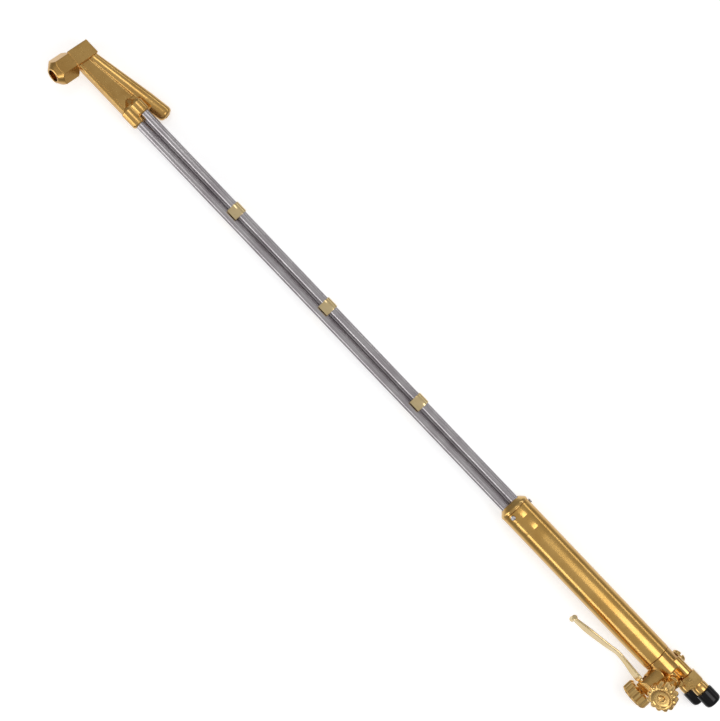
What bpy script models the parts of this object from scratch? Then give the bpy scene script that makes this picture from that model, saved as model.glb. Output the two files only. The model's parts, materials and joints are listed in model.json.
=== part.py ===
"""Long three-tube oxy-fuel hand cutting torch, lying on its side as it rests on a bench.

Every piece is its own object. Sizes are in millimetres in the constants below and are turned
into metres when a mesh is made. The torch is built in its own axes, +X towards the cutting
head, +Y towards the side that faces up when it lies down, +Z away from the tip, and one empty
turns the whole assembly into the attitude in which it rests.
"""

import math

import bpy
import bmesh
from mathutils import Matrix, Vector

MM = 0.001
GAP = 0.3  # running gap between neighbouring pieces

# attitude at rest: roll about the torch's length, and the small dip of the head end
ROLL_DEG = 114.19
PITCH_DEG = 0.33

# tubes
TUBE_OD, TUBE_ID, TUBE_PITCH = 9.5, 7.4, 11.5
TUBE_FRONT_X, TUBE_REAR_X = 335.0, -417.0

# head
TIP_X, TIP_TILT_DEG, BLOCK_AHEAD = 406.9, -5.0, 1.7
BLOCK_LONG, BLOCK_WIDE, BLOCK_TOP, BLOCK_BOTTOM = 17.2, 18.0, 11.2, -14.4
ARM_FRONT, ARM_REAR = (401.0, 6.4), (307.2, 21.4)
ARM_R_FRONT, ARM_R_REAR = 5.5, 8.1
SOCKET_R, SOCKET_FRONT_X, SOCKET_REAR_X = 7.2, 338.4, 323.6
LOWER_SOCKET_REAR_X = 318.2

# tip nut
NUT_AF, NUT_TOP, NUT_CONE, NUT_END = 25.4, -14.8, -31.4, -38.6
NUT_END_R, NUT_BORE_R, NUT_EXIT_R = 7.9, 10.4, 6.35
BOSS_R, BOSS_END = 10.0, -26.0

# clips
CLIP_X = (190.6, 60.4, -69.8)
CLIP_LONG, CLIP_THICK = 12.6, 0.95

# handle
BARREL_OD, BARREL_ID, BARREL_FRONT_X, BARREL_REAR_X = 31.75, 28.6, -211.9, -413.0
COLLAR_FRONT_X, COLLAR_RIM_R = -203.6, 16.3
SCREW_X, SCREW_ANGLES_DEG = -215.8, (68.0, -52.0, 188.0)

# rear body
BODY_R, BODY_FRONT_X, BODY_REAR_X = 15.6, -413.3, -433.4
HOUSING_X, HOUSING_R, HOUSING_END = -426.4, 10.0, -23.0
CUTTING_VALVE_X = -429.0
VALVE_SPLAY_DEG = 32.0
OXYGEN_VALVE_X, FUEL_VALVE_X = -427.6, -440.4
VALVE_BOSS_R, VALVE_BOSS_END = 7.0, 24.0
WHEEL_R, WHEEL_IN, WHEEL_OUT, WHEEL_LOBES = 15.0, 32.8, 46.0, 12
INLET_Y, INLET_Z, INLET_X = 9.6, 7.2, -445.4
OXYGEN_SHIFT = 7.5  # the oxygen side sits this much nearer the head
CAP_LONG, CAP_R = 17.0, 8.9

# lever
PIN_X, PIN_Z, PIN_R = -440.0, -28.5, 1.6
LEVER_THICK = 2.2
GUARD_IN, GUARD_FAR, GUARD_REACH = 5.2, 6.8, 31.7  # the two walls the lever's tongue runs between
# centre line x, z and half width of the lever's strip, from the hinge to the finger end
LEVER_LINE = (
    (-435.2, -29.8, 4.7),
    (-416.2, -30.0, 4.7),
    (-415.2, -29.9, 6.7),
    (-407.0, -29.2, 6.4),
    (-396.0, -27.8, 5.0),
    (-388.0, -27.1, 4.5),
    (-381.0, -27.2, 4.7),
    (-372.0, -29.1, 5.4),
    (-358.0, -31.5, 6.4),
    (-344.0, -33.7, 6.6),
    (-330.0, -35.4, 4.2),
)
LEVER_ROLL_R = 3.0

for old in list(bpy.data.objects):
    bpy.data.objects.remove(old, do_unlink=True)


# ---------------------------------------------------------------- materials
def metal(name, colour, roughness, metallic):
    made = bpy.data.materials.new(name)
    made.use_nodes = True
    shader = made.node_tree.nodes["Principled BSDF"]
    shader.inputs["Base Color"].default_value = (*colour, 1.0)
    shader.inputs["Roughness"].default_value = roughness
    shader.inputs["Metallic"].default_value = metallic
    made.diffuse_color = (*colour, 1.0)
    return made


FORGED = metal("forged_brass", (0.62, 0.42, 0.13), 0.28, 1.0)
TURNED = metal("turned_brass", (0.72, 0.52, 0.18), 0.20, 1.0)
DRAWN = metal("drawn_brass", (0.66, 0.47, 0.16), 0.26, 1.0)
LEVER_MAT = metal("lever_brass", (0.74, 0.60, 0.32), 0.24, 1.0)
STEEL = metal("stainless_steel", (0.46, 0.43, 0.42), 0.30, 1.0)
SPRING_MAT = metal("spring_steel", (0.40, 0.40, 0.42), 0.35, 1.0)
PACKING = metal("packing", (0.85, 0.84, 0.80), 0.6, 0.0)
BLACK = metal("black_vinyl", (0.012, 0.012, 0.013), 0.28, 0.0)


# ---------------------------------------------------------------- mesh helpers
def axis_matrix(direction):
    """Turns +Z onto the given direction."""
    return (
        Vector((0, 0, 1))
        .rotation_difference(Vector(direction).normalized())
        .to_matrix()
        .to_4x4()
    )


def turned(profile, segments, phase=0.0):
    """A closed profile of (radius, z) points turned about Z. A point on the axis has radius 0."""
    bm = bmesh.new()
    rings = []
    for radius, z in profile:
        if radius < 1e-6:
            rings.append([bm.verts.new((0, 0, z))])
            continue
        ring = []
        for i in range(segments):
            a = 2 * math.pi * (i + phase) / segments
            ring.append(bm.verts.new((radius * math.cos(a), radius * math.sin(a), z)))
        rings.append(ring)
    count = len(rings)
    for k in range(count):
        a, b = rings[k], rings[(k + 1) % count]
        if len(a) == 1 and len(b) == 1:
            continue
        for i in range(segments):
            j = (i + 1) % segments
            if len(a) == 1:
                bm.faces.new((a[0], b[j], b[i]))
            elif len(b) == 1:
                bm.faces.new((a[i], a[j], b[0]))
            else:
                bm.faces.new((a[i], a[j], b[j], b[i]))
    bmesh.ops.recalc_face_normals(bm, faces=bm.faces)
    return bm


def prism(outline, z0, z1):
    """A flat outline of (x, y) points extruded along Z."""
    bm = bmesh.new()
    face = bm.faces.new([bm.verts.new((x, y, z0)) for x, y in outline])
    grown = bmesh.ops.extrude_face_region(bm, geom=[face])
    moved = [v for v in grown["geom"] if isinstance(v, bmesh.types.BMVert)]
    bmesh.ops.translate(bm, vec=(0, 0, z1 - z0), verts=moved)
    bmesh.ops.recalc_face_normals(bm, faces=bm.faces)
    return bm


def block(x0, x1, y0, y1, z0, z1):
    return prism([(x0, y0), (x1, y0), (x1, y1), (x0, y1)], z0, z1)


def rod(radius, z0, z1, segments=16, bevel=0.0, phase=0.0):
    if bevel:
        return turned(
            [(0, z0), (radius - bevel, z0), (radius, z0 + bevel), (radius, z1 - bevel), (radius - bevel, z1), (0, z1)],
            segments,
            phase,
        )
    return turned([(0, z0), (radius, z0), (radius, z1), (0, z1)], segments, phase)


def hexagon(across_flats, phase_deg=30.0):
    radius = across_flats / math.sqrt(3)
    return [
        (radius * math.cos(math.radians(60 * i + phase_deg)), radius * math.sin(math.radians(60 * i + phase_deg)))
        for i in range(6)
    ]


def seat(name, bm, parent, at, matrix):
    if matrix is not None:
        bm.transform(matrix)
    bmesh.ops.recalc_face_normals(bm, faces=bm.faces)
    if bm.calc_volume(signed=True) < 0:
        bmesh.ops.reverse_faces(bm, faces=bm.faces)
    bm.transform(Matrix.Scale(MM, 4))
    mesh = bpy.data.meshes.new(name)
    bm.to_mesh(mesh)
    bm.free()
    obj = bpy.data.objects.new(name, mesh)
    obj.parent = parent
    obj.location = Vector(at) * MM
    bpy.context.scene.collection.objects.link(obj)
    return obj


def piece(name, bm, material, parent, at=(0, 0, 0), matrix=None, sharp=38.0):
    obj = seat(name, bm, parent, at, matrix)
    obj.data.materials.append(material)
    obj.data.shade_smooth()
    obj.data.set_sharp_from_angle(angle=math.radians(sharp))
    return obj


def tool(name, bm, parent, at=(0, 0, 0), matrix=None):
    obj = seat(name, bm, parent, at, matrix)
    obj.hide_render = True
    obj.display_type = "WIRE"
    return obj


def boolean(obj, other, operation):
    step = obj.modifiers.new(f"{operation.lower()} {other.name}", "BOOLEAN")
    step.operation = operation
    step.object = other
    step.solver = "EXACT"


def add(obj, other):
    boolean(obj, other, "UNION")


def cut(obj, other):
    boolean(obj, other, "DIFFERENCE")


def weld(obj):
    """Joins the points that the Booleans leave within a few micrometres of each other."""
    step = obj.modifiers.new("weld", "WELD")
    step.merge_threshold = 0.000004


def axle(name, parent, at, rotation):
    empty = bpy.data.objects.new(name, None)
    empty.empty_display_size = 0.02
    empty.parent = parent
    empty.location = Vector(at) * MM
    empty.rotation_euler = rotation
    bpy.context.scene.collection.objects.link(empty)
    return empty


ALONG_X = axis_matrix((1, 0, 0))
ALONG_Y = axis_matrix((0, 1, 0))

torch = axle("torch", None, (0, 0, 0), (0, 0, 0))
spread = TUBE_PITCH / math.sqrt(3)
TUBES = {
    "cutting_oxygen_tube": (TUBE_PITCH / 2, spread / 2),
    "preheat_oxygen_tube": (-TUBE_PITCH / 2, spread / 2),
    "fuel_gas_tube": (0.0, -spread),
}
PHASE = {"cutting_oxygen_tube": 0.13, "preheat_oxygen_tube": 0.37, "fuel_gas_tube": 0.61}
TUBE_HOLE_R = TUBE_OD / 2 + GAP

# ---------------------------------------------------------------- tubes
for name, (y, z) in TUBES.items():
    piece(
        name,
        turned(
            [
                (TUBE_ID / 2, TUBE_REAR_X),
                (TUBE_OD / 2, TUBE_REAR_X),
                (TUBE_OD / 2, TUBE_FRONT_X),
                (TUBE_ID / 2, TUBE_FRONT_X),
            ],
            20,
        ),
        STEEL,
        torch,
        (0, y, z),
        ALONG_X,
    )

# ---------------------------------------------------------------- head
tip_axis = axle("tip_axis", torch, (TIP_X, 0, 0), (0, math.radians(TIP_TILT_DEG), 0))
ALONG_Y_XZ = Matrix(((1, 0, 0, 0), (0, 0, 1, 0), (0, 1, 0, 0), (0, 0, 0, 1)))
lean = math.tan(math.radians(-TIP_TILT_DEG))
corners = [
    (side * BLOCK_LONG / 2 - z * lean, z)
    for side, z in ((-1, BLOCK_BOTTOM), (1, BLOCK_BOTTOM), (1, BLOCK_TOP), (-1, BLOCK_TOP))
]
# the block's lower face is square to the tip's axis
for k in (0, 1):
    x = corners[k][0]
    corners[k] = (x, BLOCK_BOTTOM + (x + BLOCK_AHEAD) * lean)
head = piece("torch_head", prism(corners, -BLOCK_WIDE / 2, BLOCK_WIDE / 2), FORGED, torch, (TIP_X + BLOCK_AHEAD, 0, 0), ALONG_Y_XZ)
edges = head.modifiers.new("edge bevel", "BEVEL")
edges.width = 0.5 * MM
edges.segments = 1
edges.limit_method = "ANGLE"

add(
    head,
    tool(
        "tip_boss",
        turned([(0, BOSS_END), (BOSS_R - 1, BOSS_END), (BOSS_R, BOSS_END + 1), (BOSS_R, -15.2), (7.6, -13.2), (0, -13.2)], 24),
        tip_axis,
    ),
)
front, rear = Vector((ARM_FRONT[0], 0, ARM_FRONT[1])), Vector((ARM_REAR[0], 0, ARM_REAR[1]))
arm_dir = (rear - front).normalized()
arm_long = (rear - front).length
ARM_AXIS = axis_matrix(arm_dir)
add(
    head,
    tool(
        "upper_arm",
        turned(
            [
                (0, 0),
                (ARM_R_FRONT, 0),
                (ARM_R_REAR, arm_long - 26),
                (ARM_R_REAR, arm_long - 4.0),
                (ARM_R_REAR - 1.2, arm_long - 1.3),
                (ARM_R_REAR - 3.4, arm_long),
                (0, arm_long),
            ],
            20,
            0.5,
        ),
        torch,
        front,
        ARM_AXIS,
    ),
)
add(
    head,
    tool(
        "web",
        prism([(402.5, -10.5), (402.5, 5.9), (330.0, 17.2), (330.0, 2.0), (340.0, -10.5)], -2.3, 2.3),
        torch,
        (0, 0, 0),
        ALONG_Y_XZ,
    ),
)
add(head, tool("lower_rib", prism([(404.5, -12.1), (404.5, -8.6), (335.0, -8.6), (335.0, -12.1)], -4.0, 4.0), torch, (0, 0, 0), ALONG_Y_XZ))
add(head, tool("arm_bridge", prism([(344.0, 0.5), (344.0, 16.0), (320.5, 19.0), (324.5, 9.5), (324.5, 0.5)], -4.6, 4.6), torch, (0, 0, 0), ALONG_Y_XZ))
add(
    head,
    tool(
        "socket_root",
        turned([(0, 325.5), (8.6, 325.5), (8.6, 338.5), (3.5, 345.0), (0, 345.0)], 20),
        torch,
        (0, 0, 0.4),
        ALONG_X,
    ),
)
for name, (y, z) in TUBES.items():
    end = LOWER_SOCKET_REAR_X if name == "fuel_gas_tube" else SOCKET_REAR_X
    add(
        head,
        tool(
            f"{name}_socket",
            turned(
                [(0, end), (SOCKET_R - 1.3, end), (SOCKET_R, end + 1.6), (SOCKET_R, SOCKET_FRONT_X - 2), (SOCKET_R - 2.0, SOCKET_FRONT_X + 1.0), (0, SOCKET_FRONT_X + 1.0)],
                20,
                PHASE[name],
            ),
            torch,
            (0, y, z),
            ALONG_X,
        ),
    )
for name, (y, z) in TUBES.items():
    cut(head, tool(f"{name}_head_bore", rod(TUBE_HOLE_R, 310.0, TUBE_FRONT_X + 0.4, 16, 0, PHASE[name]), torch, (0, y, z), ALONG_X))
cut(
    head,
    tool(
        "arm_passage",
        turned([(0, arm_long - 44), (2.0, arm_long - 44), (2.0, arm_long - 7), (3.6, arm_long - 7), (3.6, arm_long + 5), (0, arm_long + 5)], 16),
        torch,
        front,
        ARM_AXIS,
    ),
)
cut(
    head,
    tool(
        "tip_seat",
        turned([(0, BOSS_END - 3), (9.2, BOSS_END - 3), (5.0, -19.0), (2.2, -17.0), (2.2, -5.0), (0, -5.0)], 20),
        tip_axis,
    ),
)
weld(head)
piece(
    "head_passage_plug",
    turned([(0, arm_long - 6.6), (3.3, arm_long - 6.6), (3.3, arm_long + 0.3), (2.6, arm_long + 0.8), (0, arm_long + 0.8)], 16),
    TURNED,
    torch,
    front,
    ARM_AXIS,
)

# tip nut: hexagon with a turned chamfer at the top and a cone down to the tip's exit
corner = NUT_AF / math.sqrt(3)
nut = piece("tip_nut", prism(hexagon(NUT_AF, 0.0), NUT_END, NUT_TOP), FORGED, tip_axis)
limit = tool(
    "tip_nut_turning",
    turned(
        [
            (NUT_EXIT_R, NUT_END - 0.0),
            (NUT_END_R, NUT_END - 0.0),
            (corner + 0.35, NUT_CONE - 0.6),
            (corner + 0.35, NUT_TOP - 2.2),
            (12.4, NUT_TOP + 0.0),
            (NUT_BORE_R, NUT_TOP + 0.0),
            (NUT_BORE_R, -31.6),
            (NUT_EXIT_R, -34.4),
        ],
        36,
    ),
    tip_axis,
)
boolean(nut, limit, "INTERSECT")
weld(nut)

# ---------------------------------------------------------------- clips
def clip_outline():
    """The strap's section: over the two upper tubes and down both flanks of the lower one."""
    inner, outer = [], []
    near = Vector(TUBES["cutting_oxygen_tube"])
    low = Vector(TUBES["fuel_gas_tube"])
    out_dir = Vector((math.cos(math.radians(-30)), math.sin(math.radians(-30))))
    for r, line in ((TUBE_HOLE_R, inner), (TUBE_HOLE_R + CLIP_THICK, outer)):
        tangent_near, tangent_low = near + out_dir * r, low + out_dir * r
        line.append(tangent_near.lerp(tangent_low, 0.66))
        for k in range(7):
            a = math.radians(-30 + 120 * k / 6)
            line.append(near + Vector((math.cos(a), math.sin(a))) * r)
    mirrored_inner = [Vector((-p.x, p.y)) for p in inner]
    mirrored_outer = [Vector((-p.x, p.y)) for p in outer]
    return outer + mirrored_outer[::-1] + mirrored_inner + inner[::-1]


for name, x in zip(("tube_clip_front", "tube_clip_middle", "tube_clip_rear"), CLIP_X):
    bm = prism([(p.x, p.y) for p in clip_outline()], -CLIP_LONG / 2, CLIP_LONG / 2)
    frame = Matrix(((0, 0, 1, 0), (1, 0, 0, 0), (0, 1, 0, 0), (0, 0, 0, 1)))
    piece(name, bm, TURNED, torch, (x, 0, 0), frame, 30.0)

# ---------------------------------------------------------------- handle
collar = piece(
    "handle_front_collar",
    turned(
        [
            (0, -223.5),
            (13.9, -223.5),
            (13.9, BARREL_FRONT_X + GAP),
            (COLLAR_RIM_R, BARREL_FRONT_X + GAP),
            (COLLAR_RIM_R, -209.8),
            (15.6, -208.4),
            (10.8, COLLAR_FRONT_X),
            (0, COLLAR_FRONT_X),
        ],
        32,
    ),
    TURNED,
    torch,
    (0, 0, 0),
    ALONG_X,
)
for name, (y, z) in TUBES.items():
    cut(collar, tool(f"{name}_collar_bore", rod(TUBE_HOLE_R, -230.0, -198.0, 16, 0, PHASE[name]), torch, (0, y, z), ALONG_X))
barrel = piece(
    "handle_barrel",
    turned(
        [
            (BARREL_ID / 2, BARREL_REAR_X),
            (BARREL_OD / 2, BARREL_REAR_X),
            (BARREL_OD / 2, BARREL_FRONT_X),
            (BARREL_ID / 2, BARREL_FRONT_X),
        ],
        40,
    ),
    DRAWN,
    torch,
    (0, 0, 0),
    ALONG_X,
)
for number, angle in enumerate(SCREW_ANGLES_DEG, 1):
    a = math.radians(angle)
    radial = axis_matrix((0, math.cos(a), math.sin(a)))
    at = (SCREW_X, 0, 0)
    hole = tool(f"collar_screw_{number}_hole", rod(1.6, 12.3, 20.0, 12), torch, at, radial)
    cut(collar, hole)
    cut(barrel, hole)
    screw = piece(
        f"collar_screw_{number}",
        turned([(0, 12.6), (1.3, 12.6), (1.3, 16.2), (2.5, 16.2), (2.5, 16.8), (1.8, 17.4), (0, 17.4)], 12),
        STEEL,
        torch,
        at,
        radial,
    )

weld(collar)
weld(barrel)

# ---------------------------------------------------------------- rear body
body = piece(
    "rear_body",
    turned(
        [
            (0, BODY_REAR_X),
            (BODY_R - 1.6, BODY_REAR_X),
            (BODY_R, BODY_REAR_X + 1.6),
            (BODY_R, BODY_FRONT_X),
            (13.9, BODY_FRONT_X),
            (13.9, -403.5),
            (0, -403.5),
        ],
        32,
    ),
    FORGED,
    torch,
    (0, 0, 0),
    ALONG_X,
)
add(body, tool("rear_dome", turned([(0, -444.8), (5.0, -444.8), (7.0, -443.6), (7.6, -441.6), (7.6, -428.0), (0, -428.0)], 20), torch, (0, 3.5, -4.0), ALONG_X))
for side, y, end in (("fuel", INLET_Y, INLET_X), ("oxygen", -INLET_Y, INLET_X + OXYGEN_SHIFT)):
    add(body, tool(f"{side}_neck", rod(6.5, end, -426.0, 20, 0.5), torch, (0, y, INLET_Z), ALONG_X))
add(body, tool("valve_housing", turned([(0, HOUSING_END), (HOUSING_R - 0.9, HOUSING_END), (HOUSING_R, HOUSING_END + 1.1), (HOUSING_R, 0), (0, 0)], 24), torch, (HOUSING_X, 0, 0)))
splay = math.radians(VALVE_SPLAY_DEG)
oxygen_axis = axle("oxygen_valve_axis", torch, (OXYGEN_VALVE_X, 0, 0), (math.pi - splay, 0, 0))
fuel_axis = axle("fuel_valve_axis", torch, (FUEL_VALVE_X, 0, 0), (math.pi + splay, 0, 0))
for side, axis in (("oxygen", oxygen_axis), ("fuel", fuel_axis)):
    add(body, tool(f"{side}_valve_boss", turned([(0, 7.5), (VALVE_BOSS_R + 1.0, 7.5), (VALVE_BOSS_R + 1.0, 13), (VALVE_BOSS_R, 15.5), (VALVE_BOSS_R, VALVE_BOSS_END - 0.8), (VALVE_BOSS_R - 0.8, VALVE_BOSS_END), (0, VALVE_BOSS_END)], 20, 0.5), axis))


def rounded_end(x0, x1, top, cx, cz, radius, steps=8):
    """An upright outline with a round lower end about (cx, cz)."""
    arc = [(cx + radius * math.cos(math.radians(180 + 180 * k / steps)), cz + radius * math.sin(math.radians(180 + 180 * k / steps))) for k in range(steps + 1)]
    return [(x0, top)] + arc + [(x1, top)]


def guard(side, outer):
    """One wall of the lever's bracket, round outside like the housing and sloped below like the valve beside it."""
    steps = 8
    around = HOUSING_R - 0.15
    reach = math.acos(GUARD_IN / around)
    outline = []
    for k in range(steps + 1):
        a = math.pi / 2 - reach + 2 * reach * k / steps
        x, y = around * math.cos(a), around * math.sin(a)
        outline.append((x + HOUSING_X, side * min(y, outer)))
    bm = prism(outline, -36.0, -20.0)
    down = Vector((0, side * math.sin(splay), -math.cos(splay)))
    bmesh.ops.bisect_plane(bm, geom=list(bm.verts) + list(bm.edges) + list(bm.faces), plane_co=down * GUARD_REACH, plane_no=down, clear_outer=True)
    bmesh.ops.holes_fill(bm, edges=[e for e in bm.edges if e.is_boundary], sides=0)
    return bm


add(body, tool("lever_guard_near", guard(1, HOUSING_R - 0.2), torch))
add(body, tool("lever_guard_far", guard(-1, GUARD_FAR), torch))

LUG_R = 3.3
add(body, tool("lever_lug", prism(rounded_end(PIN_X - 4.6, PIN_X + 4.6, -9.0, PIN_X, PIN_Z, LUG_R), -2.5, 2.5), torch, (0, 0, 0), ALONG_Y_XZ))

for name, (y, z) in TUBES.items():
    cut(body, tool(f"{name}_rear_bore", rod(TUBE_HOLE_R, TUBE_REAR_X - 0.4, -398.0, 16, 0, PHASE[name]), torch, (0, y, z), ALONG_X))
cut(
    body,
    tool(
        "cutting_valve_bore",
        turned([(0, -26), (4.9, -26), (4.9, -17), (3.4, -17), (3.4, -5), (5.6, -5), (5.6, 20), (0, 20)], 20),
        torch,
        (CUTTING_VALVE_X, 0, 0),
    ),
)
cut(body, tool("cap_seat_flat", rod(8.8, 14.6, 22.0, 24), torch, (CUTTING_VALVE_X, 0, 0)))
for side, axis in (("oxygen", oxygen_axis), ("fuel", fuel_axis)):
    cut(body, tool(f"{side}_valve_bore", turned([(0, 11.4), (2.6, 11.4), (2.6, 15.0), (4.2, 15.0), (4.2, 27), (0, 27)], 16), axis))
for side, y, end in (("fuel", INLET_Y, INLET_X), ("oxygen", -INLET_Y, INLET_X + OXYGEN_SHIFT)):
    cut(body, tool(f"{side}_inlet_bore", rod(4.6, end - 4, end + 8.5, 16), torch, (0, y, INLET_Z), ALONG_X))
cut(body, tool("lever_pin_hole", rod(PIN_R + GAP, -9.3, 9.1, 12), torch, (PIN_X, 0, PIN_Z), ALONG_Y))

weld(body)

# ---------------------------------------------------------------- cutting valve
cap = piece(
    "cutting_valve_cap",
    turned([(0, 9.6), (5.3, 9.6), (5.3, 14.9), (8.2, 14.9), (8.2, 16.0), (7.6, 16.4), (7.6, 18.9), (6.8, 19.8), (0, 19.8)], 24),
    TURNED,
    torch,
    (CUTTING_VALVE_X, 0, 0),
)
cut(cap, tool("cap_slot", block(-1.2, 1.2, -12, 12, 17.2, 24), torch, (CUTTING_VALVE_X, 0, 0)))
piece("cutting_valve_seat", turned([(3.0, -4.7), (5.3, -4.7), (5.3, -2.0), (3.8, -2.0), (3.0, -2.6)], 20), TURNED, torch, (CUTTING_VALVE_X, 0, 0))
piece(
    "cutting_valve_stem",
    turned(
        [(0, -28.4), (1.7, -28.4), (2.2, -27.9), (2.2, -2.6), (3.2, -1.7), (4.5, -1.7), (4.5, 1.0), (2.1, 1.0), (2.1, 4.6), (0, 4.6)],
        16,
    ),
    STEEL,
    torch,
    (CUTTING_VALVE_X, 0, 0),
)
gland = piece(
    "cutting_valve_gland",
    prism(hexagon(9.6, 0.0), -25.9, HOUSING_END - GAP),
    TURNED,
    torch,
    (CUTTING_VALVE_X, 0, 0),
)
add(gland, tool("gland_sleeve", rod(4.6, -24.6, -17.4, 16), torch, (CUTTING_VALVE_X, 0, 0)))
cut(gland, tool("gland_bore", rod(2.5, -30, -10, 16), torch, (CUTTING_VALVE_X, 0, 0)))


def coil(mean_r, wire_r, z0, z1, turns, per_turn, sides):
    """A closed tube that follows a helix, with half a turn flattened at each end."""
    bm = bmesh.new()
    rings = []
    count = int(turns * per_turn)
    low, high = z0 + wire_r, z1 - wire_r
    for k in range(count + 1):
        a = 2 * math.pi * k / per_turn
        share = min(max((k / per_turn - 0.5) / (turns - 1.0), 0.0), 1.0)
        centre = Vector((mean_r * math.cos(a), mean_r * math.sin(a), low + (high - low) * share))
        outward = Vector((math.cos(a), math.sin(a), 0))
        ring = []
        for j in range(sides):
            b = 2 * math.pi * j / sides
            ring.append(bm.verts.new(centre + outward * (wire_r * math.cos(b)) + Vector((0, 0, wire_r * math.sin(b)))))
        rings.append(ring)
    for a, b in zip(rings, rings[1:]):
        for j in range(sides):
            n = (j + 1) % sides
            bm.faces.new((a[j], a[n], b[n], b[j]))
    bm.faces.new(rings[0][::-1])
    bm.faces.new(rings[-1])
    bmesh.ops.recalc_face_normals(bm, faces=bm.faces)
    return bm


piece("cutting_valve_spring", coil(3.7, 0.5, 1.3, 9.3, 4.5, 10, 5), SPRING_MAT, torch, (CUTTING_VALVE_X, 0, 0))

# ---------------------------------------------------------------- needle valves
def lobed(profile, lobes, depth, rim_from):
    """A turned profile whose points beyond rim_from dip between the lobes."""
    segments = 2 * lobes
    bm = turned(profile, segments)
    for vertex in bm.verts:
        radius = math.hypot(vertex.co.x, vertex.co.y)
        if radius < rim_from:
            continue
        turn = math.atan2(vertex.co.y, vertex.co.x) / (2 * math.pi) * segments
        if round(turn) % 2:
            share = (radius - depth) / radius
            vertex.co.x *= share
            vertex.co.y *= share
    return bm


for side, axis in (("oxygen", oxygen_axis), ("fuel", fuel_axis)):
    nut_piece = piece(f"{side}_packing_nut", prism(hexagon(11.6), VALVE_BOSS_END + GAP, 28.8), TURNED, axis)
    add(nut_piece, tool(f"{side}_packing_nut_ends", turned([(0, 21.4), (3.9, 21.4), (3.9, 25), (5.3, 25), (5.3, 29.2), (4.4, 30.4), (0, 30.4)], 16), axis))
    cut(nut_piece, tool(f"{side}_packing_nut_bore", rod(2.5, 18, 34, 16), axis))
    piece(f"{side}_stem_packing", turned([(2.5, 19.4), (3.9, 19.4), (3.9, 21.1), (2.5, 21.1)], 16), PACKING, axis)
    stem = piece(
        f"{side}_needle_stem",
        turned(
            [(0, 11.8), (0.4, 11.8), (2.2, 14.2), (2.2, 15.3), (3.8, 15.3), (3.8, 17.0), (2.2, 17.0), (2.2, 42.9), (1.25, 42.9), (1.25, 37.5), (0, 37.5)],
            12,
        ),
        STEEL,
        axis,
    )
    piece(
        f"{side}_handwheel",
        lobed(
            [
                (2.5, 31.0),
                (5.8, 31.0),
                (6.4, WHEEL_IN + 0.4),
                (12.4, WHEEL_IN),
                (WHEEL_R, WHEEL_IN + 1.8),
                (WHEEL_R, WHEEL_OUT - 2.0),
                (12.6, WHEEL_OUT - 0.3),
                (9.0, WHEEL_OUT - 0.3),
                (8.2, WHEEL_OUT - 1.5),
                (2.5, WHEEL_OUT - 1.5),
            ],
            WHEEL_LOBES,
            1.3,
            12.0,
        ),
        TURNED,
        axis,
    )
    wheel_screw = piece(
        f"{side}_wheel_screw",
        turned([(0, 39.2), (0.95, 39.2), (0.95, 44.8), (3.4, 44.8), (3.4, 45.6), (2.6, 46.2), (0, 46.2)], 14),
        TURNED,
        axis,
    )
    cut(wheel_screw, tool(f"{side}_wheel_screw_slot", block(-0.45, 0.45, -6, 6, 45.55, 48), axis))

# ---------------------------------------------------------------- inlets
for side, y, end in (("fuel", INLET_Y, INLET_X), ("oxygen", -INLET_Y, INLET_X + OXYGEN_SHIFT)):
    at = (end, y, INLET_Z)
    fitting = piece(f"{side}_inlet_fitting", prism(hexagon(16.0, 0.0), -13.8, -GAP), TURNED, torch, at, ALONG_X)
    add(
        fitting,
        tool(
            f"{side}_inlet_turning",
            turned([(0, 7.6), (4.2, 7.6), (4.2, -1.5), (7.0, -1.5), (7.7, -12.0), (7.7, -22.6), (6.95, -22.6), (6.95, -36.6), (6.2, -37.4), (0, -37.4)][::-1], 20),
            torch,
            at,
            ALONG_X,
        ),
    )
    cut(fitting, tool(f"{side}_inlet_through_bore", turned([(0, -40), (5.4, -40), (3.0, -33.5), (3.0, 12), (0, 12)], 16), torch, at, ALONG_X))
    weld(fitting)
    cap_axis = axle(f"{side}_cap_axis", torch, (end - 40.0, y, INLET_Z), (0, 0, 0))
    piece(
        f"{side}_inlet_cap",
        turned(
            [
                (0, 0),
                (4.4, 0),
                (6.9, 0.7),
                (8.3, 2.2),
                (CAP_R, 4.4),
                (CAP_R, CAP_LONG - 0.4),
                (CAP_R - 0.4, CAP_LONG),
                (7.3, CAP_LONG),
                (7.3, 2.0),
                (0, 2.0),
            ],
            24,
        ),
        BLACK,
        cap_axis,
        (0, 0, 0),
        ALONG_X,
    )

# ---------------------------------------------------------------- lever
def strip():
    """The lever's bent strip, swept along its centre line with a varying width."""
    bm = bmesh.new()
    rings = []
    count = len(LEVER_LINE)
    for i, (x, z, half) in enumerate(LEVER_LINE):
        a = LEVER_LINE[max(i - 1, 0)]
        b = LEVER_LINE[min(i + 1, count - 1)]
        along = Vector((b[0] - a[0], b[1] - a[1])).normalized()
        up = Vector((-along.y, along.x)) * (LEVER_THICK / 2)
        ring = []
        for sx, sy in ((-1, -1), (1, -1), (1, 1), (-1, 1)):
            ring.append(bm.verts.new((x + up.x * sy - PIN_X, half * sx, z + up.y * sy - PIN_Z)))
        rings.append(ring)
    for a, b in zip(rings, rings[1:]):
        for j in range(4):
            n = (j + 1) % 4
            bm.faces.new((a[j], a[n], b[n], b[j]))
    bm.faces.new(rings[0][::-1])
    bm.faces.new(rings[-1])
    bmesh.ops.recalc_face_normals(bm, faces=bm.faces)
    return bm


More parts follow.
